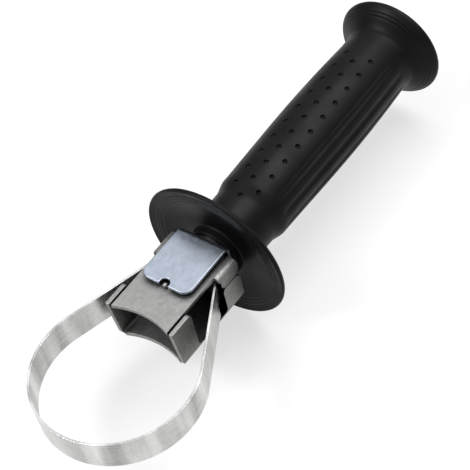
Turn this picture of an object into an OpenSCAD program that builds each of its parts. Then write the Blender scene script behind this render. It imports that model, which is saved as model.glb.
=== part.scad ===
// Strap-clamp side handle for a hammer drill.
// The handle axis is X, the axis of the tool's collar is Z, and the origin lies on the handle axis
// level with the middle of the strap's loop. The strap is shown loose, as it is slipped over a tool.

/* [Strap] */
// Width of the steel band, along the tool axis
strap_w = 15; // [10:0.5:16]
// Thickness of the band
strap_t = 1; // [0.6:0.1:1.2]
// Radius of the loose loop, to the middle of the band
loop_r = 35.6; // [33:0.2:40]
// How far the loose loop leans to one side of the handle axis
loop_lean = 4.5; // [0:0.5:6]
// Length of the folded tab at each end of the band
tab_len = 2.8; // [2:0.2:3]

/* [Bracket] */
// Thickness of the folded sheet
sheet_t = 2; // [1.5:0.1:2.4]
// Distance across the cheeks, outside
bracket_w = 35.5; // [34:0.5:40]
// Distance over the top and back plates, outside
bracket_d = 23.6; // [22.6:0.2:26]
// How much further the back plate lies from the handle axis than the top plate
bracket_drop = 1.6; // [0:0.2:2]
// Distance from the loop's middle to the corners of the concave seat
seat_x = 22.5; // [21:0.5:25]
// Radius of the concave seat
seat_r = 39; // [30:1:60]
// Length of the bracket, from the seat's corners to the outer face of its end wall
bracket_len = 45.5; // [44:0.5:52]
// Length of the front cheeks
front_cheek_len = 12.5; // [9:0.5:16]
// How far the front edge of a cheek stands proud of the seat corners
cheek_proud = 0.4; // [0.2:0.2:2]
// How much further back the seat lies on the back plate than on the top plate
back_set = 2.2; // [0:0.2:3]
// Length of the rear cheeks
rear_cheek_len = 13.4; // [11:0.2:14]
// Slit between the top plate and the front cheeks
slit_w = 1; // [0.3:0.1:1.4]
// Outer radius of the folds
fold_r = 3; // [2.5:0.1:4]

/* [Locking plate] */
// Thickness of the locking plate
lock_t = 1.5; // [1:0.1:2]
// Width of its leaf
lock_w = 25; // [22:0.5:29]
// Length of its leaf, from the front edge to the flange behind the end wall
lock_len = 29.4; // [24:0.2:31]
// Gap between the leaf and the top plate
lock_gap = 1.6; // [1.3:0.1:2.4]
// Corner radius of the leaf
lock_corner_r = 4.5; // [2:0.5:7]
// Radius of the notch round the locating pip
notch_r = 2.4; // [2:0.1:3]
// Radius of the locating pip
pip_r = 1.3; // [0.8:0.1:1.6]

/* [Draw bolt] */
// Diameter of the bolt
bolt_d = 8; // [6:0.5:9]
// Pitch of its thread
thread_pitch = 1.25; // [1:0.25:1.5]
// Diameter of its domed head
bolt_head_d = 16; // [13:0.5:17]
// Height of its domed head
bolt_head_h = 4.4; // [3:0.2:5]
// Thickness of the draw plate that the band hooks into
draw_plate_t = 2.5; // [2:0.1:3]
// Turns of the grip from loose to tight
turns = 3.2; // [2:0.2:3.6]
// Length of the bolt under its head
bolt_len = 46; // [40:1:50]
// Diameter of the thrust washer
washer_d = 22; // [18:0.5:24]
// Thickness of the thrust washer
washer_t = 1.6; // [1:0.1:2.2]

/* [Grip] */
// Radius of the guard
guard_r = 35.4; // [30:0.2:42]
// How far the hub stands out past the plane of the guard's rim
hub_proud = 0.8; // [0.4:0.2:3]
// Thickness of the guard's rim
guard_rim_t = 2.4; // [2:0.2:4]
// Depth of the dish in the guard
dish_depth = 3.6; // [2:0.2:4]
// Radius of the hub in the dish
hub_r = 12.8; // [11:0.2:15]
// Radius of the neck behind the guard
neck_r = 15.6; // [13:0.2:17]
// Radius at both ends of the gripped length
grip_end_r = 17.2; // [16:0.2:18]
// How far the middle of the grip swells
grip_swell = 1.2; // [0:0.1:3]
// Length from the plane of the guard's rim to the gripped length
neck_len = 24.1; // [20:0.1:28]
// Gripped length, from the neck to the end flange
grip_len = 105; // [90:1:130]
// Radius of the end flange
flange_r = 26; // [22:0.5:30]
// Length over the end flange
flange_len = 15.5; // [12:0.5:20]
// Depth of the flutes
flute_depth = 0.9; // [0.4:0.1:1.4]
// Width of one flute, as an angle about the axis
flute_angle = 14; // [6:0.5:17]
// Angle between neighbouring flutes
flute_pitch = 24; // [20:1:28]
// Diameter of a dimple
dimple_d = 2; // [1:0.2:3]
// Depth of a dimple
dimple_depth = 0.7; // [0.3:0.1:1]
// Distance between dimples along a row
dimple_pitch = 9.8; // [7:0.2:12]
// Angle between the rows of dimples
dimple_row_angle = 21; // [16:1:24]
// Width across flats of the threaded insert
insert_af = 13; // [12:0.5:16]
// Length of the threaded insert
insert_len = 20; // [14:0.5:22]
// Depth of the threaded insert behind the face of the hub
insert_depth = 17; // [12:0.5:19]

/* [Hidden] */
$fn = 96;
over = 1;                                  // how far a cutter reaches past a face
run_gap = 0.2;                             // clearance round a piece that slides or turns
stop_gap = 0.3;                            // clearance left between the band's tabs and the end wall
band_gap = 0.2;                            // clearance of the band in its slot, each side
cheek_gap = 0.5;                           // clearance of the draw plate in the bracket, each side
bolt_hole_d = bolt_d + 0.6;                // clearance hole for the bolt
travel = turns * thread_pitch;             // how far the bolt draws the strap in

half_w = bracket_w / 2;
half_d = bracket_d / 2;
end_x = seat_x + bracket_len;              // outer face of the end wall
wall_x = end_x - sheet_t;                  // inner face of the end wall
cheek_in = half_w - sheet_t;               // inner face of a cheek
mid_z = -bracket_drop / 2;                 // middle of the bracket, between its plates
top_z = mid_z + half_d;                    // outer face of the top plate
back_z = mid_z - half_d;                   // outer face of the back plate
gap_half = half_d - sheet_t;               // half the gap between the plates
top_half_w = cheek_in - slit_w;            // half the width of the top plate
seat_cx = seat_x - sqrt(seat_r * seat_r - top_half_w * top_half_w);
nose_x = seat_x - cheek_proud;             // front edge of the front cheeks
window_x = seat_x + front_cheek_len;       // front edge of the strap windows
rear_x = end_x - rear_cheek_len;           // front edge of the rear cheeks

tab_x = wall_x - stop_gap - travel - strap_t / 2;   // middle of the band's folded tabs
draw_plate_x = tab_x - strap_t / 2 - draw_plate_t;  // front face of the draw plate
elbow = [draw_plate_x - 4.2, cheek_in - 0.55];      // where the band bends as it enters the bracket
slot_y = cheek_in - 3.75;                  // middle of the band in the draw plate
draw_plate_half_w = cheek_in - cheek_gap;
draw_plate_half_d = top_z - sheet_t - cheek_gap;
window_half_h = strap_w / 2 + 1;           // half height of a window
window_end = elbow.x + travel + 0.6;       // rear end of a window inside, clear of the drawn strap
loop_c = [0, -loop_lean];
loop_steps = 76;
bend_steps = 4;
band_bend_r = 1.5;                         // radius of its bends, to the middle of the band

leaf_end = end_x + lock_t;                 // outer face of the locking plate's flange
lock_x = leaf_end - lock_len;              // front edge of its leaf
leaf_z = top_z + lock_gap;                 // underside of its leaf
lock_bend_r = 3;                           // outer radius of its bend
lock_flange = [22, 10];                    // width of its flange, and how far it reaches below the axis
pip_x = lock_x + 1;                        // the locating pip sits in the mouth of the notch
pip_h = lock_gap + lock_t / 2;             // and reaches half way through the leaf

washer_x = leaf_end;
hub_x = washer_x + washer_t;               // face of the grip's hub
guard_x = hub_x + hub_proud;               // plane of the guard's rim
guard_back_x = guard_x + guard_rim_t;
dish_x = guard_x + dish_depth;             // floor of the dish
grip_x = guard_x + neck_len;               // start of the gripped length
flange_x = grip_x + grip_len;              // start of the end flange
end_face_x = flange_x + flange_len;
edge_r = 0.8;                              // broken edges of the moulding
neck_fillet_r = 8.2;
flange_lip_r = 1.6;                        // rounded rim of the end flange
flute_start = grip_x + 6;
neck_x = flute_start - 8;                  // where the neck starts to open out
flute_end = flange_x - 4;
flutes_per_side = 4;
dimple_rows = 3;                           // on the top, and again underneath
dimple_turn = 4;                           // angle of the middle row from straight up
dimple_start = neck_x + 0.2;               // first dimple of the middle rows
dimple_end = flange_x - 11;                // no dimple lies past this
insert_x = hub_x + insert_depth;
bolt_tip_x = draw_plate_x + bolt_len;
bore_end = bolt_tip_x + travel + 4;        // bottom of the blind bore in the grip

bright_steel = "#c9c7c0";
zinc = "#bcc3d6";
dark_steel = "#6a6b6c";
rubber = "#1f2021";

// Angle about the loop's middle at which the straight run from one elbow meets the loop
function touch_angle(side) =
    let (d = [elbow.x, side * elbow.y] - loop_c)
    atan2(d.y, d.x) + side * acos(loop_r / norm(d));

// Radius of the gripped length at x: a swell that lies nearer the far end
function swell_r(x) = grip_end_r + grip_swell * sin(180 * pow((x - grip_x) / grip_len, 1.3));
// A smooth step from 0 to 1
function ease(t) = t * t * (3 - 2 * t);

// The band's centre line is a list of [point, direction to its right]. Here it turns about c,
// from angle a0 to a1
function turn(c, r, a0, a1, steps) =
    [for (i = [0:steps]) let (a = a0 + (a1 - a0) * i / steps, out = [cos(a), sin(a)])
        [c + r * out, sign(a1 - a0) * out]];

// Here it is bent to radius r at q, on its way from p to s
function bend(p, q, s, r) =
    let (u = (p - q) / norm(p - q), v = (s - q) / norm(s - q),
         angle = atan2(-cross(u, v), -u * v),
         c = q + (u + v) / norm(u + v) * r / cos(angle / 2),
         t = q + u * r * tan(abs(angle) / 2) - c,
         a0 = atan2(t.y, t.x))
    turn(c, r, a0, a0 + angle, bend_steps);

// Corners of one end of the band, from its folded tab to where it meets the loop
function band_end(side) =
    let (a = touch_angle(side))
    [[tab_x, side * (slot_y + tab_len)], [tab_x, side * slot_y],
     [draw_plate_x - strap_t, side * slot_y], [elbow.x, side * elbow.y],
     loop_c + loop_r * [cos(a), sin(a)]];

function band_line() =
    let (left = band_end(1),
         right = band_end(-1),
         radii = [0, strap_t / 2 + band_gap, band_bend_r, band_bend_r])
    concat(
        [[left[0], [-1, 0]]],
        [for (i = [1:3]) each bend(left[i - 1], left[i], left[i + 1], radii[i])],
        turn(loop_c, loop_r, touch_angle(1), touch_angle(-1) + 360, loop_steps),
        [for (i = [3:-1:1]) each bend(right[i + 1], right[i], right[i - 1], radii[i])],
        [[right[0], [-1, 0]]]
    );

module strap() {
    line = band_line();
    color(bright_steel) translate([0, 0, -strap_w / 2]) linear_extrude(strap_w) polygon(concat(
        [for (p = line) p[0] + p[1] * strap_t / 2],
        [for (i = [len(line) - 1:-1:0]) line[i][0] - line[i][1] * strap_t / 2]
    ));
}

// Side view of the stirrup: back plate, end wall and top plate, folded from one sheet
module stirrup_section() {
    start = nose_x - over;
    translate([0, mid_z]) difference() {
        union() {
            translate([start, -half_d]) square([end_x - fold_r - start, bracket_d]);
            translate([end_x - fold_r - over, fold_r - half_d])
                square([fold_r + over, bracket_d - 2 * fold_r]);
            for (z = [-1, 1]) translate([end_x - fold_r, z * (half_d - fold_r)]) circle(r = fold_r);
        }
        translate([start - over, -gap_half])
            square([wall_x - (fold_r - sheet_t) - start + over, 2 * gap_half]);
        translate([wall_x - fold_r, -half_d + fold_r]) square([fold_r, bracket_d - 2 * fold_r]);
        for (z = [-1, 1]) translate([end_x - fold_r, z * (half_d - fold_r)]) circle(r = fold_r - sheet_t);
    }
}

// Cross-section of the sleeve that the cheeks are cut from, seen along the handle
module sleeve_section() {
    translate([0, mid_z]) difference() {
        rounded_box(bracket_w, bracket_d, fold_r);
        rounded_box(bracket_w - 2 * sheet_t, bracket_d - 2 * sheet_t, fold_r - sheet_t);
    }
}

module rounded_box(w, d, r) {
    square([w - 2 * r, d], center = true);
    square([w, d - 2 * r], center = true);
    for (y = [-1, 1], z = [-1, 1]) translate([y * (w / 2 - r), z * (d / 2 - r)]) circle(r = r);
}

// Extrudes a sketch drawn in Y and Z along X, from x0 to x1
module along_x(x0, x1) {
    translate([x0, 0, 0]) rotate([90, 0, 90]) linear_extrude(x1 - x0) children();
}

// Extrudes a sketch drawn in X and Z across the whole width
module across_y(w) {
    rotate([90, 0, 0]) translate([0, 0, -w / 2]) linear_extrude(w) children();
}

// Cross-section of the back plate with both front cheeks folded up, square at their free edges
module channel_section() {
    translate([0, mid_z]) difference() {
        translate([0, half_d]) rounded_box(bracket_w, 2 * bracket_d, fold_r);
        translate([0, half_d]) rounded_box(2 * cheek_in, 2 * (bracket_d - sheet_t), fold_r - sheet_t);
        translate([-bracket_w, half_d]) square(2 * bracket_w);
    }
}

// Both front cheeks seen from the side, as [x, z, radius of the corner]. The fold that they rise
// from runs on under the windows
function front_cheek_corners() =
    let (root = 3.2)
    [[nose_x, top_z, 0.6], [nose_x + back_set, back_z, 3.5], [rear_x + over, back_z, 0],
     [rear_x + over, back_z + root, 0], [window_x, back_z + root, 1.2], [window_x, top_z, 2.4]];

// Turns corners with a radius into an outline
function rounded(c) =
    [for (i = [0:len(c) - 1])
        let (n = len(c), p = c[(i + n - 1) % n], q = c[i], s = c[(i + 1) % n])
        each q[2] == 0 ? [[q.x, q.y]]
            : [for (b = bend([p.x, p.y], [q.x, q.y], [s.x, s.y], q[2])) b[0]]];

// Front cheeks, folded up from the back plate
module front_cheeks() {
    intersection() {
        along_x(nose_x - over, rear_x + over) difference() {
            channel_section();
            square([2 * top_half_w - over, 2 * bracket_d], center = true);
        }
        across_y(bracket_w + 2 * over) polygon(rounded(front_cheek_corners()));
    }
}

// One rear cheek seen from the side: two rounded tongues that meet above its middle, joined to the
// top and back plates by strips
module rear_cheek_outline() {
    parting = [3.1, 3.7];
    corner_r = 3.4;
    len = wall_x + over - rear_x;
    for (z = [[back_z, parting[0]], [parting[1], top_z]])
        translate([rear_x + len / 2, (z[0] + z[1]) / 2]) rounded_box(len, z[1] - z[0], corner_r);
    for (z = [[back_z, -window_half_h], [window_half_h, top_z]])
        translate([rear_x, z[0]]) square([len, z[1] - z[0]]);
}

// Slope of the straight run of the band against the handle axis
function run_slope(side) =
    let (run = band_end(side)[4] - band_end(side)[3])
    abs(run.y / run.x);

// Bevels the front ends of the tongues, along the band as it lies when drawn in
module band_bevel(side) {
    y = [cheek_in - over, cheek_in, half_w + over];
    x = [window_end, window_end - (y[2] - y[1]) / run_slope(side)];
    translate([0, 0, -window_half_h]) linear_extrude(2 * window_half_h)
        polygon([[x[0], side * y[0]], [x[0], side * y[1]], [x[1], side * y[2]],
                 [window_x, side * y[2]], [window_x, side * y[0]]]);
}

module rear_cheeks() {
    difference() {
        intersection() {
            along_x(rear_x, wall_x + over) difference() {
                sleeve_section();
                square([2 * (cheek_in - fold_r), 2 * bracket_d], center = true);
            }
            across_y(bracket_w + 2 * over) rear_cheek_outline();
        }
        for (side = [-1, 1]) band_bevel(side);
    }
}

// Domed pip punched up from the top plate
module pip() {
    translate([pip_x, 0, top_z - over]) cylinder(r = pip_r, h = over + pip_h - pip_r);
    translate([pip_x, 0, top_z + pip_h - pip_r]) sphere(r = pip_r);
}

module saddle_bracket() {
    color(dark_steel) difference() {
        union() {
            difference() {
                across_y(2 * top_half_w) stirrup_section();
                for (end = [[0, 0], [back_set, -bracket_d]])
                    translate([seat_cx + end[0], 0, end[1]])
                        cylinder(r = seat_r, h = bracket_d, $fn = 180);
            }
            front_cheeks();
            rear_cheeks();
        }
        translate([wall_x - over, 0, 0]) rotate([0, 90, 0])
            cylinder(d = bolt_hole_d, h = sheet_t + 2 * over);
    }
    color(bright_steel) pip();
}

// The leaf's outline, with round front corners and the notch that the pip sits in
module leaf_outline() {
    flat_end = leaf_end - lock_bend_r;
    difference() {
        union() {
            translate([lock_x + lock_corner_r, -lock_w / 2])
                square([flat_end - lock_x - lock_corner_r, lock_w]);
            translate([lock_x, lock_corner_r - lock_w / 2])
                square([2 * lock_corner_r, lock_w - 2 * lock_corner_r]);
            for (y = [-1, 1])
                translate([lock_x + lock_corner_r, y * (lock_w / 2 - lock_corner_r)])
                    circle(r = lock_corner_r);
        }
        translate([pip_x, 0]) circle(r = notch_r);
    }
}

// Folded plate over the bracket: its flange is trapped on the bolt and its notch keeps it straight
module locking_plate() {
    bend = [leaf_end - lock_bend_r, leaf_z + lock_t - lock_bend_r];
    color(zinc) {
        translate([0, 0, leaf_z]) linear_extrude(lock_t) leaf_outline();
        across_y(lock_w) intersection() {
            translate(bend) difference() {
                circle(r = lock_bend_r);
                circle(r = lock_bend_r - lock_t);
            }
            translate(bend) square(lock_bend_r);
        }
        along_x(end_x, leaf_end) difference() {
            union() {
                translate([-lock_w / 2, 0]) square([lock_w, bend.y]);
                translate([-lock_flange.x / 2, -lock_flange.y])
                    square([lock_flange.x, 2 * lock_flange.y]);
            }
            circle(d = bolt_hole_d);
        }
    }
}

module thrust_washer() {
    color(bright_steel) translate([washer_x, 0, 0]) rotate([0, 90, 0]) difference() {
        cylinder(d = washer_d, h = washer_t);
        translate([0, 0, -over]) cylinder(d = bolt_hole_d, h = washer_t + 2 * over);
    }
}

// Stamped plate in the bracket: the band's ends pass through it and fold over its back
module draw_plate() {
    color(dark_steel) difference() {
        translate([draw_plate_x, -draw_plate_half_w, -draw_plate_half_d])
            cube([draw_plate_t, 2 * draw_plate_half_w, 2 * draw_plate_half_d]);
        for (side = [-1, 1])
            translate([draw_plate_x + draw_plate_t / 2, side * slot_y, 0])
                cube([draw_plate_t + 2 * over, strap_t + 2 * band_gap, strap_w + 2 * band_gap],
                     center = true);
        translate([draw_plate_x + draw_plate_t / 2, 0, 0])
            cube([draw_plate_t + 2 * over, bolt_d + run_gap, bolt_d + run_gap], center = true);
    }
}

// Coach bolt with a domed head and a square neck that sits in the draw plate
module draw_bolt() {
    dome_r = (bolt_head_d * bolt_head_d / 4 + bolt_head_h * bolt_head_h) / (2 * bolt_head_h);
    point = 1;
    color(bright_steel) translate([draw_plate_x, 0, 0]) rotate([0, 90, 0]) {
        intersection() {
            translate([0, 0, dome_r - bolt_head_h]) sphere(r = dome_r);
            translate([0, 0, -bolt_head_h]) cylinder(d = bolt_head_d, h = bolt_head_h);
        }
        translate([-bolt_d / 2, -bolt_d / 2, 0]) cube([bolt_d, bolt_d, draw_plate_t]);
        cylinder(d = bolt_d, h = bolt_len - point);
        translate([0, 0, bolt_len - point]) cylinder(d1 = bolt_d, d2 = bolt_d - 2 * point, h = point);
    }
}

module threaded_insert() {
    color(bright_steel) translate([insert_x, 0, 0]) rotate([0, 90, 0]) difference() {
        cylinder(d = insert_af / cos(30), h = insert_len, $fn = 6);
        translate([0, 0, -over]) cylinder(d = bolt_d + run_gap, h = insert_len + 2 * over);
    }
}

// The dish falls from the rim's lip to its floor
function dish_curve() =
    let (r0 = hub_r + 4, r1 = guard_r - 2.8)
    [for (i = [0:6]) let (t = i / 6) [dish_x - (dish_depth - edge_r) * ease(t), r0 + (r1 - r0) * t]];

// The rim's rounded edge, from the clamp side to the back
function rim_curve() =
    let (r = guard_rim_t / 2)
    [for (a = [-60:20:80]) [guard_x + r + r * sin(a), guard_r - r + r * cos(a)]];

// The back of the guard thickens towards the neck and runs into it with a fillet
function guard_back_curve() =
    let (x1 = guard_back_x + 2.6, r1 = neck_r + neck_fillet_r)
    [for (a = [0:15:90]) [x1 + neck_fillet_r * (1 - cos(a)), r1 - neck_fillet_r * sin(a)]];

// The neck opens out to the gripped length
function neck_curve() =
    [for (i = [0:4]) let (t = i / 4)
        [neck_x + (flute_start - neck_x) * t, neck_r + (swell_r(flute_start) - neck_r) * ease(t)]];

function grip_curve() =
    [for (i = [1:14]) let (x = flute_start + (flange_x - flute_start) * i / 14) [x, swell_r(x)]];

// The bell mouth opens in a smooth curve, then turns over a rounded lip into the nearly flat end
function flange_curve() =
    let (lip = [end_face_x - 2.8, flange_r - flange_lip_r])
    concat(
        [for (i = [1:8]) let (t = i / 9)
            [flange_x + (lip.x - flange_x) * (0.1 + 0.9 * t),
             grip_end_r + (flange_r - grip_end_r) * ease(t)]],
        [for (a = [0:22.5:90]) lip + flange_lip_r * [sin(a), cos(a)]],
        [[end_face_x - 0.4, flange_r * 0.62], [end_face_x, flange_r * 0.3]]
    );

// Outline of the turned grip, as [x, radius] pairs from the hub's face to the far end
function grip_outline() =
    concat(
        [[hub_x, 0], [hub_x, hub_r - edge_r], [hub_x + edge_r, hub_r],
         [dish_x - edge_r, hub_r], [dish_x, hub_r + edge_r]],
        dish_curve(), rim_curve(), guard_back_curve(), neck_curve(), grip_curve(), flange_curve(),
        [[end_face_x, 0]]
    );

// Turns a sketch of [radius, x] points about the handle axis, from angle a0 through span degrees
module turned(a0 = 0, span = 360) {
    rotate([90, 0, 90]) rotate([0, 0, a0]) rotate_extrude(angle = span, $fn = 120) children();
}

// A shallow groove that follows the swell and runs out at both ends. Its cutter starts clear of the
// surface by lead
module flute(angle) {
    steps = 12;
    lead = 0.2;
    outside = grip_end_r + grip_swell + over;
    turned(angle - flute_angle / 2, flute_angle) polygon(concat(
        [for (i = [0:steps]) let (t = i / steps, x = flute_start + (flute_end - flute_start) * t)
            [swell_r(x) + lead - (flute_depth + lead) * pow(sin(180 * t), 0.25), x]],
        [[outside, flute_end], [outside, flute_start]]
    ));
}

// Radius of the surface at x, from the neck on
function surface_r(x) =
    let (t = (x - neck_x) / (flute_start - neck_x))
    t < 0 ? neck_r : t < 1 ? neck_r + (swell_r(flute_start) - neck_r) * ease(t) : swell_r(x);

// Rows of dimples along the grip, those of neighbouring rows half a pitch apart
module dimples() {
    for (side = [90, 270], row = [0:dimple_rows - 1]) {
        first = dimple_start + dimple_pitch * (row % 2 == 0 ? 0.5 : 0);
        for (x = [first:dimple_pitch:dimple_end])
            rotate([side + dimple_turn + (row - (dimple_rows - 1) / 2) * dimple_row_angle, 0, 0])
                translate([x, surface_r(x) - dimple_depth, 0]) rotate([-90, 0, 0])
                    cylinder(d = dimple_d, h = dimple_depth + over, $fn = 24);
    }
}

module grip() {
    color(rubber) difference() {
        turned() polygon([for (p = grip_outline()) [p[1], p[0]]]);
        for (side = [0, 180], i = [0:flutes_per_side - 1])
            flute(side + (i - (flutes_per_side - 1) / 2) * flute_pitch);
        dimples();
        translate([hub_x - over, 0, 0]) rotate([0, 90, 0])
            cylinder(d = bolt_hole_d, h = bore_end - hub_x + over);
        translate([insert_x, 0, 0]) rotate([0, 90, 0])
            cylinder(d = insert_af / cos(30), h = insert_len, $fn = 6);
    }
}

saddle_bracket();
locking_plate();
thrust_washer();
strap();
draw_plate();
draw_bolt();
grip();
threaded_insert();
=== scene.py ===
"""Side handle of a hammer drill: the dressed model, its finishes, its studio and the photograph's camera.

All sizes in the classes are millimetres in the CAD frame: X along the handle, Z along the tool's collar. Only
the lamps are placed in metres.
"""
from __future__ import annotations

import logging
import math
from dataclasses import dataclass
from enum import Enum
from typing import Any, Callable, Sequence

import bpy
from mathutils import Matrix, Vector

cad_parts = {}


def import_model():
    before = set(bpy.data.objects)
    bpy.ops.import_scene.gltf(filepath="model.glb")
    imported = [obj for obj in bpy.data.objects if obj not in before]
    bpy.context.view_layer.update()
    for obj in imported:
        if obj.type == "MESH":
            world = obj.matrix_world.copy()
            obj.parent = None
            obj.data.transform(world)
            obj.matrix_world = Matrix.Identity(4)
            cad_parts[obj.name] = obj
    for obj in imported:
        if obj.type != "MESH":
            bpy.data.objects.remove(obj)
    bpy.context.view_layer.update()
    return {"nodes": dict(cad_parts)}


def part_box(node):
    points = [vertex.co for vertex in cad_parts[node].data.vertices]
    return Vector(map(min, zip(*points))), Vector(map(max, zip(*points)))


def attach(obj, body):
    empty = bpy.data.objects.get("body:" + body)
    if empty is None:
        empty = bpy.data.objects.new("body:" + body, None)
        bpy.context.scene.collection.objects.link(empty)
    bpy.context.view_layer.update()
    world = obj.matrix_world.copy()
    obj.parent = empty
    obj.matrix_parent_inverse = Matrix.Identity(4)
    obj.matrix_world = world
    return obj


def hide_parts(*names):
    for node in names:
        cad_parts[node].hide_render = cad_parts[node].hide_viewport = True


LOG = logging.getLogger("side_handle")
MM = 0.001
# Vertices nearer than this are one, and slivers left by a cut are narrower than the second value
WELD_MM = 0.002
SLIVER_MM = 0.005
# The colour sockets of a Mix node, whose names its other sockets share
MIX_A, MIX_B, MIX_OUT = 6, 7, 2
BLACK = (0.0, 0.0, 0.0, 1.0)
FLOOR_GAP_MM = 0.6


class Body(Enum):
    """The moving bodies of the handle."""

    CLAMP = "clamp"
    GRIP = "grip"
    STRAP = "draw_strap"


class Slot(Enum):
    """The material slots that the record names."""

    BRACKET = "bracket_steel"
    ZINC = "zinc_steel"
    BRIGHT = "bright_steel"
    MOULDING = "black_moulding"


def linear(hex_colour: str) -> tuple[float, float, float, float]:
    """Turns an sRGB hex colour into linear light, by the standard's own curve.

    Args:
        hex_colour: the colour as written, such as "#a1b2c3".

    Returns:
        Red, green and blue in linear light, and an alpha of 1.
    """
    parts = [int(hex_colour[i:i + 2], 16) / 255 for i in (1, 3, 5)]
    red, green, blue = (c / 12.92 if c <= 0.04045 else ((c + 0.055) / 1.055) ** 2.4 for c in parts)
    return red, green, blue, 1.0


def per_mm(feature: float) -> float:
    """Gives the scale at which a texture's features are so many millimetres wide."""
    return 1.0 / (feature * MM)


def box_mm(node: str) -> list[list[float]]:
    """Gives a CAD node's lowest and highest corners in millimetres, to a hundredth."""
    return [[round(value / MM, 2) for value in corner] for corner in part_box(node)]


def add_node(tree: bpy.types.NodeTree, kind: str, links: dict[str | int, Any] | None = None,
             **settings: Any) -> bpy.types.Node:
    """Adds a node with its settings, values and links.

    Args:
        tree: the node tree that takes the node.
        kind: the node's type name.
        links: for each input, by name or number, an output socket to link or a value to set.
        **settings: properties of the node itself.

    Returns:
        The new node.
    """
    node = tree.nodes.new(kind)
    for name, value in settings.items():
        setattr(node, name, value)
    for name, value in (links or {}).items():
        if isinstance(value, bpy.types.NodeSocket):
            tree.links.new(value, node.inputs[name])
        else:
            node.inputs[name].default_value = value
    return node


def empty_material(name: str) -> tuple[bpy.types.Material, bpy.types.NodeTree]:
    """Makes a node material with nothing in it.

    Args:
        name: the material's name.

    Returns:
        The material and its empty node tree.
    """
    material = bpy.data.materials.new(name)
    material.use_nodes = True
    material.node_tree.nodes.clear()
    return material, material.node_tree


def select_only(piece: bpy.types.Object) -> None:
    """Makes one object the only selected one, and the active one.

    Args:
        piece: the object to work on.
    """
    if bpy.context.object and bpy.context.object.mode != "OBJECT":
        bpy.ops.object.mode_set(mode="OBJECT")
    bpy.ops.object.select_all(action="DESELECT")
    piece.select_set(True)
    bpy.context.view_layer.objects.active = piece


def in_edit_mode(piece: bpy.types.Object, work: Callable[[], None]) -> None:
    """Runs mesh operators on everything in one object.

    Args:
        piece: the object to edit.
        work: calls the operators, with the whole mesh selected.
    """
    select_only(piece)
    bpy.ops.object.mode_set(mode="EDIT")
    bpy.ops.mesh.select_all(action="SELECT")
    work()
    bpy.ops.object.mode_set(mode="OBJECT")


def clean() -> None:
    """Joins the slivers that a cut or a bevel leaves."""
    bpy.ops.mesh.remove_doubles(threshold=SLIVER_MM * MM)
    bpy.ops.mesh.dissolve_degenerate(threshold=WELD_MM * MM)


def apply_modifier(piece: bpy.types.Object, kind: str, **settings: Any) -> None:
    """Adds a modifier and applies it.

    Args:
        piece: the object that takes it.
        kind: the modifier's type name.
        **settings: properties of the modifier.
    """
    modifier = piece.modifiers.new(kind.lower(), kind)
    for name, value in settings.items():
        setattr(modifier, name, value)
    select_only(piece)
    bpy.ops.object.modifier_apply(modifier=modifier.name)


def dress(piece: bpy.types.Object, material: bpy.types.Material, smooth_angle: float = 35.0) -> None:
    """Gives a mesh its one material and shades it smooth up to an angle.

    Args:
        piece: the object to dress.
        material: its material.
        smooth_angle: in degrees, edges sharper than this stay sharp.
    """
    piece.data.materials.clear()
    piece.data.materials.append(material)
    select_only(piece)
    bpy.ops.object.shade_smooth_by_angle(angle=math.radians(smooth_angle))


def place(piece: bpy.types.Object, name: str, body: Body, slot: Slot, *nodes: str) -> None:
    """Names a piece, lets it ride on its body and hides the CAD nodes that it stands for.

    Args:
        piece: the finished object.
        name: its name.
        body: the body that carries it.
        slot: the record's material slot that it belongs to. Not used.
        *nodes: the CAD nodes that it replaces.
    """
    piece.name = name
    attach(piece, body.value)
    if nodes:
        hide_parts(*nodes)
    triangles = sum(len(face.vertices) - 2 for face in piece.data.polygons)
    LOG.info("%s: %d triangles on %s", name, triangles, body.value)


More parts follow.
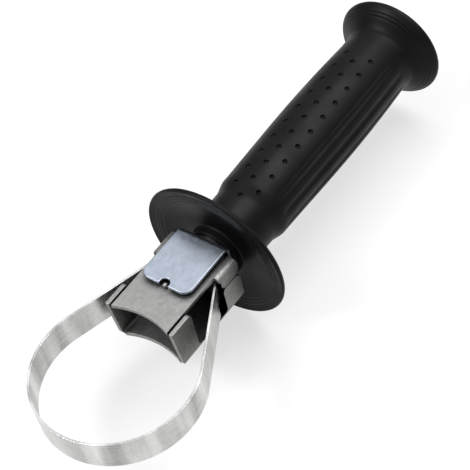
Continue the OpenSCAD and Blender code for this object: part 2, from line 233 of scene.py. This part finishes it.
@dataclass(frozen=True)
class RolledSheet:
    """Cold-rolled steel sheet under a thin plating, with fine lines along the rolling and faint clouds.

    The lines break up the highlight into streaks, and the clouds make the plating look dull in places. Real
    rolling lines and specks are a few hundredths of a millimetre wide and don't show in the render, so each
    sheet's are drawn as coarse as they need to be.

    Attributes:
        name: the material's name.
        base: the sheet's colour.
        cloud: the clouds' colour. On the bright band they are dark bars across it, a painted reflection.
        line: the lines' colour.
        roughness: of the smoothest and of the dullest spots.
        line_mm: how far one line reaches along X, Y and Z.
        cloud_mm: how far one cloud reaches along X, Y and Z.
        speck_mm: width of the specks that break up the lines.
        relief_mm: depth of lines and specks.
        line_weight: how strongly the lines colour the sheet.
        painted_shade_reach_mm: walls nearer than this darken the colour, as painted shade in a recess.
        painted_shade_share: how much of the colour is left deep in a recess, where the painted shade is
            darkest.
    """

    name: str
    base: str
    cloud: str
    line: str
    roughness: tuple[float, float]
    line_mm: tuple[float, float, float]
    cloud_mm: tuple[float, float, float]
    speck_mm: float
    relief_mm: float
    line_weight: float = 0.5
    painted_shade_reach_mm: float = 24.0
    painted_shade_share: float = 1.0

    def material(self) -> bpy.types.Material:
        """Builds the finish.

        Returns:
            The node material.
        """
        material, tree = empty_material(self.name)
        place_at = add_node(tree, "ShaderNodeTexCoord").outputs["Object"]
        stretched = add_node(tree, "ShaderNodeMapping", {
            "Vector": place_at, "Scale": tuple(per_mm(size) for size in self.line_mm)})
        lines = add_node(tree, "ShaderNodeTexNoise", {
            "Vector": stretched.outputs["Vector"], "Scale": 1.0, "Detail": 3.0, "Roughness": 0.6})
        spread = add_node(tree, "ShaderNodeMapping", {
            "Vector": place_at, "Scale": tuple(per_mm(size) for size in self.cloud_mm)})
        clouds = add_node(tree, "ShaderNodeTexNoise", {
            "Vector": spread.outputs["Vector"], "Scale": 1.0, "Detail": 4.0, "Roughness": 0.55})
        specks = add_node(tree, "ShaderNodeTexNoise", {
            "Vector": place_at, "Scale": per_mm(self.speck_mm), "Detail": 1.0})
        cloud_share = add_node(tree, "ShaderNodeMapRange", {
            "Value": clouds.outputs["Fac"], "From Min": 0.36, "From Max": 0.66})
        line_share = add_node(tree, "ShaderNodeMapRange", {
            "Value": lines.outputs["Fac"], "From Min": 0.45, "From Max": 0.72, "To Max": self.line_weight})
        clouded = add_node(tree, "ShaderNodeMix", {
            "Factor": cloud_share.outputs["Result"], MIX_A: linear(self.base), MIX_B: linear(self.cloud)},
            data_type="RGBA")
        lined = add_node(tree, "ShaderNodeMix", {
            "Factor": line_share.outputs["Result"], MIX_A: clouded.outputs[MIX_OUT],
            MIX_B: linear(self.line)}, data_type="RGBA")
        mixed = add_node(tree, "ShaderNodeMath", {
            0: lines.outputs["Fac"], 1: specks.outputs["Fac"]}, operation="MULTIPLY")
        roughness = add_node(tree, "ShaderNodeMapRange", {
            "Value": mixed.outputs[0], "From Min": 0.12, "From Max": 0.4,
            "To Min": self.roughness[0], "To Max": self.roughness[1]})
        bump = add_node(tree, "ShaderNodeBump", {
            "Height": mixed.outputs[0], "Strength": 1.0, "Distance": self.relief_mm * MM})
        # Painted shade: an ambient occlusion mask darkens the colour towards black in recesses and between
        # close walls
        openness = add_node(tree, "ShaderNodeAmbientOcclusion", {"Distance": self.painted_shade_reach_mm * MM}, samples=8)
        painted_shade_factor = add_node(tree, "ShaderNodeMapRange", {
            "Value": openness.outputs["AO"], "From Min": 0.25, "From Max": 0.95,
            "To Min": self.painted_shade_share})
        painted_shade_colour = add_node(tree, "ShaderNodeMix", {
            "Factor": painted_shade_factor.outputs["Result"], MIX_A: BLACK, MIX_B: lined.outputs[MIX_OUT]},
            data_type="RGBA")
        shader = add_node(tree, "ShaderNodeBsdfPrincipled", {
            "Base Color": painted_shade_colour.outputs[MIX_OUT], "Metallic": 1.0,
            "Roughness": roughness.outputs["Result"], "Normal": bump.outputs["Normal"]})
        add_node(tree, "ShaderNodeOutputMaterial", {"Surface": shader.outputs["BSDF"]})
        return material


@dataclass(frozen=True)
class MouldedNylon:
    """Black glass-filled nylon from a spark-eroded mould: a fine even grain with a soft, low sheen.

    The real grain is about a tenth of a millimetre wide and doesn't show in the render, so it is drawn as
    coarse as it needs to be.

    Attributes:
        name: the material's name.
        base: the colour of most of it.
        worn: the colour of the clouds, where hands have polished it.
        roughness: of the polished and of the fresh spots.
        grain_mm: width of the grain.
        cloud_mm: width of the clouds.
        relief_mm: depth of the grain.
        specular: the shader's specular level.
    """

    name: str
    base: str
    worn: str
    roughness: tuple[float, float]
    grain_mm: float
    cloud_mm: float
    relief_mm: float
    specular: float

    def material(self) -> bpy.types.Material:
        """Builds the finish.

        Returns:
            The node material.
        """
        material, tree = empty_material(self.name)
        place_at = add_node(tree, "ShaderNodeTexCoord").outputs["Object"]
        grain = add_node(tree, "ShaderNodeTexNoise", {
            "Vector": place_at, "Scale": per_mm(self.grain_mm), "Detail": 2.0, "Roughness": 0.6})
        clouds = add_node(tree, "ShaderNodeTexNoise", {
            "Vector": place_at, "Scale": per_mm(self.cloud_mm), "Detail": 3.0})
        share = add_node(tree, "ShaderNodeMapRange", {
            "Value": clouds.outputs["Fac"], "From Min": 0.4, "From Max": 0.7})
        colour = add_node(tree, "ShaderNodeMix", {
            "Factor": share.outputs["Result"], MIX_A: linear(self.base), MIX_B: linear(self.worn)},
            data_type="RGBA")
        roughness = add_node(tree, "ShaderNodeMapRange", {
            "Value": clouds.outputs["Fac"], "From Min": 0.35, "From Max": 0.65,
            "To Min": self.roughness[1], "To Max": self.roughness[0]})
        bump = add_node(tree, "ShaderNodeBump", {
            "Height": grain.outputs["Fac"], "Strength": 1.0, "Distance": self.relief_mm * MM})
        shader = add_node(tree, "ShaderNodeBsdfPrincipled", {
            "Base Color": colour.outputs[MIX_OUT], "Roughness": roughness.outputs["Result"],
            "Specular IOR Level": self.specular, "Normal": bump.outputs["Normal"]})
        add_node(tree, "ShaderNodeOutputMaterial", {"Surface": shader.outputs["BSDF"]})
        return material


@dataclass
class StampedPart:
    """A sheet or turned steel part: the CAD shape with its sharp edges broken.

    Attributes:
        node: the CAD node that it is taken from.
        body: the body that carries it.
        slot: its material slot.
        edge_mm: width of the broken edges.
        sharp_angle: edges that turn by more than this are broken.
        tip_angle: a face's corner narrower than this is a tip.
        tip_len_mm: how far from a tip the edges stay sharp.
        flat_angle: faces that turn by less than this are one flat face.
    """

    node: str
    body: Body
    slot: Slot
    edge_mm: float
    sharp_angle: float = math.radians(32)
    tip_angle: float = math.radians(25)
    tip_len_mm: float = 2.0
    flat_angle: float = math.radians(1)

    def build(self, nodes: dict[str, bpy.types.Object], material: bpy.types.Material) -> None:
        """Copies the CAD mesh, merges it, breaks its edges and dresses it.

        Args:
            nodes: the loaded CAD nodes by name.
            material: the finish.
        """
        piece = bpy.data.objects.new(self.node + "_dressed", nodes[self.node].data.copy())
        bpy.context.scene.collection.objects.link(piece)
        in_edit_mode(piece, self.merge)
        self.mark_edges(piece.data)
        apply_modifier(piece, "BEVEL", width=self.edge_mm * MM, segments=2, limit_method="WEIGHT",
                       use_clamp_overlap=False, miter_outer="MITER_ARC")
        in_edit_mode(piece, clean)
        dress(piece, material)
        apply_modifier(piece, "WEIGHTED_NORMAL", keep_sharp=True, weight=100)
        place(piece, self.node + "_dressed", self.body, self.slot, self.node)

    def merge(self) -> None:
        """Joins loose triangles into a closed shell with flat faces left whole."""
        bpy.ops.mesh.remove_doubles(threshold=WELD_MM * MM)
        bpy.ops.mesh.dissolve_limited(angle_limit=self.flat_angle)

    def mark_edges(self, mesh: bpy.types.Mesh) -> None:
        """Gives a bevel weight to the sharp edges, apart from those in the narrow tip of a face.

        Where a fold's arc leaves a straight edge, the face between them runs out to a point. Breaking both
        edges there would throw a spike, so they stay sharp for a little way.

        Args:
            mesh: the merged mesh.
        """
        normals: dict[tuple[int, int], list[Vector]] = {}
        for face in mesh.polygons:
            for key in face.edge_keys:
                normals.setdefault(key, []).append(face.normal)
        sharp = {key for key, pair in normals.items()
                 if len(pair) == 2 and pair[0].angle(pair[1], 0.0) > self.sharp_angle}
        reach = self.tip_len_mm * MM
        for face in mesh.polygons:
            ring = list(face.vertices)
            for before, tip, after in zip(ring[-1:] + ring[:-1], ring, ring[1:] + ring[:1]):
                spot = mesh.vertices[tip].co
                one, other = (mesh.vertices[i].co - spot for i in (before, after))
                beside = {(min(i, tip), max(i, tip)) for i in (before, after)}
                if one.angle(other, math.pi) < self.tip_angle and beside <= sharp:
                    sharp -= {key for key in face.edge_keys
                              if min((mesh.vertices[i].co - spot).length for i in key) < reach}
        weight = mesh.attributes.new("bevel_weight_edge", "FLOAT", "EDGE")
        for edge in mesh.edges:
            weight.data[edge.index].value = float(edge.key in sharp)


@dataclass
class Grip:
    """The one-piece moulded grip: hub, dished guard, neck, gripped length and flared end.

    An x is a place along the handle, an r a distance from its axis. Angles are in degrees round the handle,
    from +Y towards +Z. The first five values come from the frame.
    """

    hub_x: float
    guard_r: float
    pocket_x: float
    pocket_len: float
    pocket_af: float
    # The bore for the bolt, and how far it runs on past the insert's pocket
    bore_r: float = 4.3
    bore_chamfer: float = 0.5
    bore_past: float = 4.1
    # The hub, which stands proud of the guard and inside its dish
    hub_r: float = 12.8
    hub_proud: float = 0.8
    hub_fillet: float = 1.2
    edge_r: float = 0.8
    # The guard: the dish's depth, its flat margins by the hub and by the rim, and the rim's thickness
    dish: float = 3.6
    dish_inner: float = 4.0
    dish_outer: float = 2.8
    rim_t: float = 2.4
    # The neck, its fillet behind the guard and the short rise to the gripped length
    neck_r: float = 15.6
    neck_len: float = 24.1
    neck_fillet: float = 8.2
    fillet_back: float = 2.6
    plain_len: float = 6.0
    rise_len: int = 8
    # The gripped length: its radius at the ends and how much it swells, most of all beyond its middle
    grip_len: float = 105.0
    end_r: float = 17.2
    swell: float = 1.2
    swell_bias: float = 1.3
    # The flared end: the share of it that stays straight, its rounded lip and its slightly crowned face
    flange_r: float = 26.0
    flange_len: float = 15.5
    flare_start: float = 0.2
    lip_len: float = 2.8
    lip_r: float = 1.6
    crown: float = 0.4
    crown_shares: tuple[float, float] = (0.62, 0.3)
    # Flutes run along both sides, and run out softly at both ends
    flute_angles: tuple[float, ...] = (-36, -12, 12, 36, 144, 168, 192, 216)
    flute_width: float = 17.0
    flute_depth: float = 0.9
    flute_end: float = 4.0
    flute_run_out: float = 0.25
    # Rows of half-round dimples on top and beneath, the middle row half a pitch ahead
    dimple_angles: tuple[float, ...] = (73, 94, 115, 253, 274, 295)
    dimple_count: int = 10
    dimple_pitch: float = 9.8
    dimple_back: float = 1.8
    dimple_r: float = 1.25
    dimple_depth: float = 1.2
    # Turned lines left by the mould. Real ones are finer and wouldn't show in the render
    dish_rings: tuple[float, ...] = (28.6, 30.2, 31.8)
    end_rings: tuple[float, ...] = (22.0, 23.4, 24.8)
    ring_w: float = 0.55
    ring_depth: float = 0.16
    # Steps of the mesh, round the handle and along its curves
    segments: int = 192
    dish_steps: int = 48
    grip_steps: int = 60
    flare_steps: int = 47

    @classmethod
    def from_frame(cls) -> Grip:
        """Takes the grip's place, its guard and the insert's pocket from the CAD.

        Returns:
            The grip, with its other sizes as they stand above.
        """
        (hub_x, _, _), (_, _, guard_r) = box_mm("grip")
        (pocket_x, low_y, _), (pocket_end, high_y, _) = box_mm("threaded_insert")
        return cls(hub_x, guard_r, pocket_x, pocket_end - pocket_x, high_y - low_y)

    @property
    def guard_x(self) -> float:
        """Gives the place of the guard's front."""
        return self.hub_x + self.hub_proud

    @property
    def grip_x(self) -> float:
        """Gives the place where the gripped length starts."""
        return self.guard_x + self.neck_len

    @property
    def flange_x(self) -> float:
        """Gives the place where the flared end starts."""
        return self.grip_x + self.grip_len

    def radius(self, x: float) -> float:
        """Gives the radius of the neck and the gripped length at x."""
        start = self.grip_x + self.plain_len
        t = min((max(x, start) - self.grip_x) / self.grip_len, 1.0)
        swelled = self.end_r + self.swell * math.sin(math.pi * t ** self.swell_bias)
        risen = self.ease(min(max((x - start + self.rise_len) / self.rise_len, 0.0), 1.0))
        return self.neck_r + (swelled - self.neck_r) * risen

    @staticmethod
    def ease(t: float) -> float:
        """Steps smoothly from 0 to 1."""
        return t * t * (3 - 2 * t)

    def profile(self) -> list[tuple[float, float]]:
        """Draws the turned outline, bore included.

        Returns:
            Points of x and r, from the bottom of the bore round to the middle of the end face.
        """
        bore_end = self.pocket_x + self.pocket_len + self.bore_past
        points = [(bore_end, 0.0), (bore_end, self.bore_r), (self.hub_x + self.bore_chamfer, self.bore_r),
                  (self.hub_x, self.bore_r + self.bore_chamfer)]
        return points + self.guard_outline() + self.grip_outline() + self.flare_outline()

    def guard_outline(self) -> list[tuple[float, float]]:
        """Draws the hub, the dish, the rim and the fillet behind the guard.

        Returns:
            Points of x and r.
        """
        dish_x = self.guard_x + self.dish
        points = self.arc(self.hub_x + self.edge_r, self.hub_r - self.edge_r, self.edge_r, 180, 90, 4)
        points += self.arc(dish_x - self.hub_fillet, self.hub_r + self.hub_fillet, self.hub_fillet, -90, 0, 4)
        inner, outer = self.hub_r + self.dish_inner, self.guard_r - self.dish_outer
        for i in range(self.dish_steps + 1):
            r = inner + (outer - inner) * i / self.dish_steps
            rise = (self.dish - self.edge_r) * self.ease(i / self.dish_steps)
            points.append((dish_x - rise + self.ring_line(r, self.dish_rings), r))
        rim_r = self.rim_t / 2
        points += self.arc(self.guard_x + rim_r, self.guard_r - rim_r, rim_r, 150, 10, 12)
        fillet_x = self.guard_x + self.rim_t + self.fillet_back + self.neck_fillet
        return points + self.arc(fillet_x, self.neck_r + self.neck_fillet, self.neck_fillet, 180, 270, 10)

    def grip_outline(self) -> list[tuple[float, float]]:
        """Draws the rise from the neck and the gripped length.

        Returns:
            Points of x and r.
        """
        start = self.grip_x + self.plain_len
        places = [start - self.rise_len + i for i in range(self.rise_len + 1)]
        places += [start + (self.flange_x - start) * i / self.grip_steps
                   for i in range(1, self.grip_steps + 1)]
        return [(x, self.radius(x)) for x in places]

    def flare_outline(self) -> list[tuple[float, float]]:
        """Draws the flared end, its lip and its end face.

        Returns:
            Points of x and r.
        """
        end_x = self.flange_x + self.flange_len
        lip_x = end_x - self.lip_len
        points = []
        for i in range(1, self.flare_steps + 1):
            # The lip takes over a little before the curve would flatten out
            t = i / (self.flare_steps + 2.5)
            r = self.end_r + (self.flange_r - self.end_r) * self.ease(t)
            x = self.flange_x + (lip_x - self.flange_x) * (self.flare_start + (1 - self.flare_start) * t)
            points.append((x + self.ring_line(r, self.end_rings), r))
        points += self.arc(lip_x, self.flange_r - self.lip_r, self.lip_r, 90, 0, 8)
        outer, inner = self.crown_shares
        points += [(end_x - self.crown, self.flange_r * outer), (end_x, self.flange_r * inner), (end_x, 0.0)]
        return points

    def ring_line(self, r: float, rings: Sequence[float]) -> float:
        """Gives the depth of the fine turned lines at one radius.

        Args:
            r: distance from the axis.
            rings: the lines' radii.

        Returns:
            How far the surface lies back, towards the free end.
        """
        near = min(abs(r - ring) for ring in rings) / self.ring_w
        return self.ring_depth * (0.5 + 0.5 * math.cos(math.pi * near)) if near < 1 else 0.0

    @staticmethod
    def arc(x: float, r: float, radius: float, start: float, stop: float,
            steps: int) -> list[tuple[float, float]]:
        """Draws an arc of the outline.

        Args:
            x: middle of the arc along the handle.
            r: middle of the arc from the axis.
            radius: its radius.
            start: first angle in degrees, 0 along the handle and 90 outwards.
            stop: last angle.
            steps: number of straight pieces.

        Returns:
            The arc's points.
        """
        angles = [math.radians(start + (stop - start) * i / steps) for i in range(steps + 1)]
        return [(x + radius * math.cos(a), r + radius * math.sin(a)) for a in angles]

    def build(self, material: bpy.types.Material) -> None:
        """Turns, flutes and dimples the grip, then dresses it.

        Args:
            material: the moulding's finish.
        """
        piece = self.turned()
        self.press_flutes(piece)
        cutter = self.dimple_cutter()
        apply_modifier(piece, "BOOLEAN", object=cutter, operation="DIFFERENCE", solver="EXACT")
        bpy.data.objects.remove(cutter, do_unlink=True)
        in_edit_mode(piece, clean)
        dress(piece, material, smooth_angle=30.0)
        place(piece, "grip_moulding", Body.GRIP, Slot.MOULDING, "grip")

    def turned(self) -> bpy.types.Object:
        """Extrudes the outline point by point and spins it about the handle's axis.

        Returns:
            The closed turned body.
        """
        points = self.profile()
        bpy.ops.object.select_all(action="DESELECT")
        bpy.ops.mesh.primitive_plane_add(size=MM)
        piece = bpy.context.object

        def draw() -> None:
            """Draws the outline from the plane's corners and spins it."""
            bpy.ops.mesh.merge(type="CENTER")
            bpy.ops.transform.translate(value=(points[0][0] * MM, 0, points[0][1] * MM))
            for before, after in zip(points, points[1:]):
                bpy.ops.mesh.extrude_region_move(TRANSFORM_OT_translate={
                    "value": ((after[0] - before[0]) * MM, 0, (after[1] - before[1]) * MM)})
            bpy.ops.mesh.select_all(action="SELECT")
            bpy.ops.mesh.spin(steps=self.segments, angle=2 * math.pi, center=(0, 0, 0), axis=(1, 0, 0))
            bpy.ops.mesh.select_all(action="SELECT")
            bpy.ops.mesh.remove_doubles(threshold=WELD_MM * MM)
            bpy.ops.mesh.normals_make_consistent(inside=False)

        in_edit_mode(piece, draw)
        return piece

    def press_flutes(self, piece: bpy.types.Object) -> None:
        """Sinks the flutes into the gripped length.

        Args:
            piece: the turned body, changed in place.
        """
        start, stop = self.grip_x + self.plain_len, self.flange_x - self.flute_end
        for vertex in piece.data.vertices:
            x, y, z = (c / MM for c in vertex.co)
            r = math.hypot(y, z)
            in_bore = r < self.hub_r
            if in_bore or not start < x < stop:
                continue
            angle = math.degrees(math.atan2(z, y))
            along = math.sin(math.pi * (x - start) / (stop - start)) ** self.flute_run_out
            sink = 0.0
            for flute in self.flute_angles:
                off = abs((angle - flute + 180) % 360 - 180) / (self.flute_width / 2)
                if off < 1:
                    sink = max(sink, self.flute_depth * (0.5 + 0.5 * math.cos(math.pi * off)) * along)
            scale = (r - sink) / r
            vertex.co.y *= scale
            vertex.co.z *= scale

    def dimple_cutter(self) -> bpy.types.Object:
        """Makes one cutter of all the dimples' balls and the insert's hexagonal pocket.

        Returns:
            The joined cutter.
        """
        bpy.ops.object.select_all(action="DESELECT")
        bpy.ops.mesh.primitive_cylinder_add(
            vertices=6, radius=self.pocket_af / 2 / math.cos(math.pi / 6) * MM, depth=self.pocket_len * MM,
            location=((self.pocket_x + self.pocket_len / 2) * MM, 0, 0), rotation=(0, math.pi / 2, 0))
        parts = [bpy.context.object]
        for row, angle in enumerate(self.dimple_angles):
            ahead = 0.0 if row % 3 == 1 else 0.5
            for i in range(self.dimple_count):
                x = self.grip_x - self.dimple_back + (ahead + i) * self.dimple_pitch
                out = (self.radius(x) + self.dimple_r - self.dimple_depth) * MM
                a = math.radians(angle)
                bpy.ops.mesh.primitive_uv_sphere_add(
                    segments=14, ring_count=8, radius=self.dimple_r * MM,
                    location=(x * MM, out * math.cos(a), out * math.sin(a)))
                parts.append(bpy.context.object)
        bpy.ops.object.select_all(action="DESELECT")
        for part in parts:
            part.select_set(True)
        bpy.context.view_layer.objects.active = parts[0]
        bpy.ops.object.join()
        return bpy.context.object


@dataclass(frozen=True)
class SoftBox:
    """An area lamp that faces the handle.

    Attributes:
        name: the lamp's name.
        direction: from the handle to the lamp.
        distance: from the handle, in metres.
        size: its sides in metres.
        power: in watts.
        target: the place that it faces, in metres.
    """

    name: str
    direction: tuple[float, float, float]
    distance: float
    size: tuple[float, float]
    power: float
    target: tuple[float, float, float] = (0.08, 0.0, 0.0)

    def build(self) -> None:
        """Hangs the lamp and turns it to the handle."""
        data = bpy.data.lights.new(self.name, "AREA")
        data.shape = "RECTANGLE"
        data.size, data.size_y = self.size
        data.energy = self.power
        lamp = bpy.data.objects.new(self.name, data)
        back = Vector(self.direction).normalized()
        lamp.location = Vector(self.target) + back * self.distance
        lamp.rotation_euler = back.to_track_quat("Z", "Y").to_euler()
        bpy.context.scene.collection.objects.link(lamp)


@dataclass
class Studio:
    """A pale floor, two soft boxes and a soft sky.

    Attributes:
        floor_z: height of the floor.
        floor_x: middle of the floor along the handle.
        floor_size: the floor's sides.
        floor_colour: its paint, as the light on the handle meets it.
        floor_glow: how much of the floor that is seen or mirrored is plain white instead of paint.
        boxes: the lamps.
        low_sky: the sky's colour near the horizon.
        high_sky: its colour overhead.
        sky_heights: between these shares of the way up, the one turns into the other.
        sky_strength: how strongly it lights.
    """

    floor_z: float
    floor_x: float = 90.0
    floor_size: float = 9000.0
    floor_colour: str = "#d2d2d1"
    floor_glow: float = 0.6
    boxes: tuple[SoftBox, ...] = (
        SoftBox("softbox", (0.48, -0.15, 0.86), distance=0.95, size=(0.75, 0.5), power=6.4),
        SoftBox("front_box", (-0.51, 0.38, 0.77), distance=1.0, size=(0.3, 0.3), power=5.6))
    low_sky: str = "#696b6e"
    high_sky: str = "#f6f7fa"
    sky_heights: tuple[float, float] = (0.1, 0.8)
    sky_strength: float = 1.4

    def build(self) -> None:
        """Builds the floor, the lamps and the sky."""
        self.floor()
        for box in self.boxes:
            box.build()
        self.sky()

    def floor(self) -> None:
        """Lays the floor just under the guard's rim."""
        bpy.ops.object.select_all(action="DESELECT")
        bpy.ops.mesh.primitive_plane_add(
            size=self.floor_size * MM, location=(self.floor_x * MM, 0, self.floor_z * MM))
        floor = bpy.context.object
        floor.name = "floor"
        material, tree = empty_material("painted_floor")
        ray = add_node(tree, "ShaderNodeLightPath")
        seen = add_node(tree, "ShaderNodeMath", {
            0: ray.outputs["Is Camera Ray"], 1: ray.outputs["Is Glossy Ray"]}, operation="MAXIMUM")
        seen = add_node(tree, "ShaderNodeMath", {
            0: seen.outputs[0], 1: ray.outputs["Is Transmission Ray"]}, operation="MAXIMUM")
        share = add_node(tree, "ShaderNodeMath", {
            0: seen.outputs[0], 1: self.floor_glow}, operation="MULTIPLY")
        matt = add_node(tree, "ShaderNodeBsdfDiffuse", {"Color": linear(self.floor_colour)})
        glow = add_node(tree, "ShaderNodeEmission", {"Color": (1, 1, 1, 1), "Strength": 1.0})
        both = add_node(tree, "ShaderNodeMixShader", {
            0: share.outputs[0], 1: matt.outputs["BSDF"], 2: glow.outputs["Emission"]})
        add_node(tree, "ShaderNodeOutputMaterial", {"Surface": both.outputs["Shader"]})
        floor.data.materials.append(material)

    def sky(self) -> None:
        """Paints the world pale overhead and darker low down."""
        world = bpy.data.worlds.new("studio_sky")
        bpy.context.scene.world = world
        world.use_nodes = True
        tree = world.node_tree
        tree.nodes.clear()
        way = add_node(tree, "ShaderNodeTexCoord").outputs["Generated"]
        height = add_node(tree, "ShaderNodeSeparateXYZ", {0: way})
        share = add_node(tree, "ShaderNodeMapRange", {
            "Value": height.outputs["Z"], "From Min": self.sky_heights[0], "From Max": self.sky_heights[1]})
        colour = add_node(tree, "ShaderNodeMix", {
            "Factor": share.outputs["Result"], MIX_A: linear(self.low_sky), MIX_B: linear(self.high_sky)},
            data_type="RGBA")
        light = add_node(tree, "ShaderNodeBackground", {
            "Color": colour.outputs[MIX_OUT], "Strength": self.sky_strength})
        add_node(tree, "ShaderNodeOutputWorld", {"Surface": light.outputs["Background"]})


@dataclass
class PhotoCamera:
    """The photograph's viewpoint: above the clamp's mouth, rolled so that the grip points up to the right.

    Attributes:
        right: the way that is right in the picture.
        up: the way that is up in the picture.
        back: the way from the picture to the viewer.
        place_mm: the camera's place.
        lens: focal length in millimetres.
        sensor: the sensor's width in millimetres.
    """

    right: tuple[float, float, float] = (0.5768, -0.80083, -0.16115)
    up: tuple[float, float, float] = (0.67701, 0.35824, 0.64291)
    back: tuple[float, float, float] = (-0.45713, -0.47993, 0.7488)
    place_mm: tuple[float, float, float] = (-206.1, -307.1, 475.8)
    lens: float = 113.4
    sensor: float = 36.0

    def build(self) -> None:
        """Makes the camera and hands it to the scene."""
        data = bpy.data.cameras.new("photo_camera")
        data.lens = self.lens
        data.sensor_width = self.sensor
        camera = bpy.data.objects.new("photo_camera", data)
        turn = Matrix((self.right, self.up, self.back)).transposed().to_4x4()
        turn.translation = Vector(self.place_mm) * MM
        camera.matrix_world = turn
        bpy.context.scene.collection.objects.link(camera)
        bpy.context.scene.camera = camera


# Cold-rolled steel with zinc plating put on before it was folded: dull, and greyer than the locking plate.
# Inside the hollow and between the folds its colour is darkened by painted shade
BRACKET_SHEET = RolledSheet(
    name="dull_plated_sheet", base="#91918e", cloud="#828381", line="#9c9c99", roughness=(0.4, 0.62),
    line_mm=(2.2, 0.7, 0.7), cloud_mm=(2.6, 2.6, 2.6), speck_mm=0.9, relief_mm=0.045, painted_shade_share=0.12)
# Cold-rolled steel under clear zinc plating, which gives a bluish cast, soft clouds and a fairly even sheen
ZINC_SHEET = RolledSheet(
    name="blue_zinc_plate", base="#a2a9b5", cloud="#99a0ab", line="#adb3bc", roughness=(0.3, 0.42),
    line_mm=(3.0, 1.6, 1.6), cloud_mm=(5.0, 5.0, 5.0), speck_mm=2.2, relief_mm=0.004)
# Bright spring steel, rolled and slit: it shines in long lines along the band. Its darker clouds make bars
# across it, a painted reflection of the surroundings that the band mirrors
BRIGHT_BAND = RolledSheet(
    name="bright_steel_band", base="#dcdcd9", cloud="#9a9a98", line="#e2e2df", roughness=(0.24, 0.4),
    line_mm=(14.0, 14.0, 0.45), cloud_mm=(11.0, 11.0, 70.0), speck_mm=0.9, relief_mm=0.008)
# Turned steel under bright zinc: a plain clean shine with faint rings round the axis
BRIGHT_STEEL = RolledSheet(
    name="bright_plated_steel", base="#9b9b9c", cloud="#8e8f91", line="#a9a9aa", roughness=(0.24, 0.38),
    line_mm=(0.4, 3.0, 3.0), cloud_mm=(5.0, 5.0, 5.0), speck_mm=0.7, relief_mm=0.01)
# Glass-filled nylon, injection moulded: nearly black, with a soft, low sheen that keeps to its edges
NYLON = MouldedNylon(
    name="black_moulded_nylon", base="#090909", worn="#0e0e0f", roughness=(0.36, 0.46), grain_mm=0.7,
    cloud_mm=14.0, relief_mm=0.035, specular=0.095)


def main() -> None:
    """Builds the handle's pieces, its studio and its camera."""
    logging.basicConfig(level=logging.INFO, format="%(name)s %(message)s")
    bpy.context.scene.view_settings.view_transform = "Standard"
    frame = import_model()
    bracket, zinc = BRACKET_SHEET.material(), ZINC_SHEET.material()
    band, bright = BRIGHT_BAND.material(), BRIGHT_STEEL.material()
    parts: Sequence[tuple[StampedPart, bpy.types.Material]] = (
        (StampedPart("saddle_bracket", Body.CLAMP, Slot.BRACKET, edge_mm=0.25), bracket),
        (StampedPart("locking_plate", Body.CLAMP, Slot.ZINC, edge_mm=0.35), zinc),
        (StampedPart("thrust_washer", Body.CLAMP, Slot.BRIGHT, edge_mm=0.2), bright),
        (StampedPart("strap", Body.STRAP, Slot.BRIGHT, edge_mm=0.15), band),
        (StampedPart("draw_plate", Body.STRAP, Slot.BRACKET, edge_mm=0.25), bracket),
        (StampedPart("draw_bolt", Body.STRAP, Slot.BRIGHT, edge_mm=0.15), bright),
        (StampedPart("threaded_insert", Body.GRIP, Slot.BRIGHT, edge_mm=0.15), bright),
    )
    for part, material in parts:
        part.build(frame["nodes"], material)
    grip = Grip.from_frame()
    grip.build(NYLON.material())
    Studio(floor_z=-grip.guard_r - FLOOR_GAP_MM).build()
    PhotoCamera().build()


if __name__ == "__main__":
    main()
